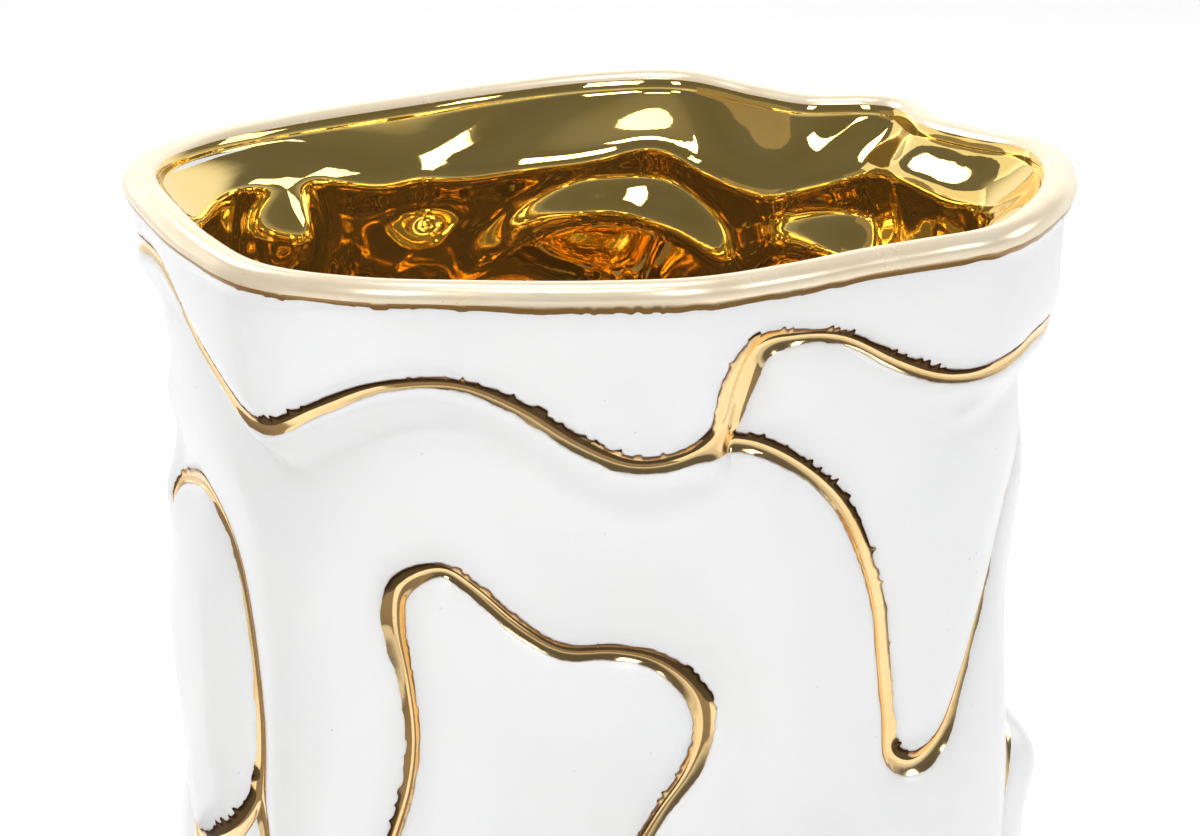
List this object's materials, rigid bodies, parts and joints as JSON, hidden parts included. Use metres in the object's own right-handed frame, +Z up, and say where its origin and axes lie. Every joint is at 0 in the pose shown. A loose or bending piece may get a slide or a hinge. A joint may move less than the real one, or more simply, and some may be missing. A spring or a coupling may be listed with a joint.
{
  "type": "porcelain vase",
  "caption": "Tall white porcelain vase with a wavy mouth, gold-inlaid meandering grooves, a gilded lip and a mirror-gold inside, on an unglazed foot ring.",
  "frame": {"origin": "centre of the foot ring, on the table", "axes": "+Z up along the vase; -Y is the front that the picture shows, +X its right"},
  "size_m": [0.1699, 0.1698, 0.2729],
  "materials": {
    "porcelain": "satin",
    "bisque": "matte",
    "gold_mirror": "polished",
    "gold_lip": "satin",
    "gold_line": "gloss"
  },
  "bodies": {
    "root": {"porcelain_body": "porcelain", "foot_ring": "bisque", "gold_lining": "gold_mirror", "gold_lip": "gold_lip", "gold_line_collar": "gold_line", "gold_line_front_arch": "gold_line", "gold_line_left_leaf": "gold_line", "gold_line_right_leaf": "gold_line", "gold_line_front_hook": "gold_line", "gold_line_back_left": "gold_line", "gold_line_back_middle": "gold_line", "gold_line_back_right": "gold_line", "gold_line_low_front": "gold_line", "gold_line_low_right": "gold_line", "gold_line_low_left": "gold_line", "gold_line_low_back": "gold_line", "gold_line_low_back_right": "gold_line"}
  },
  "joints": []
}
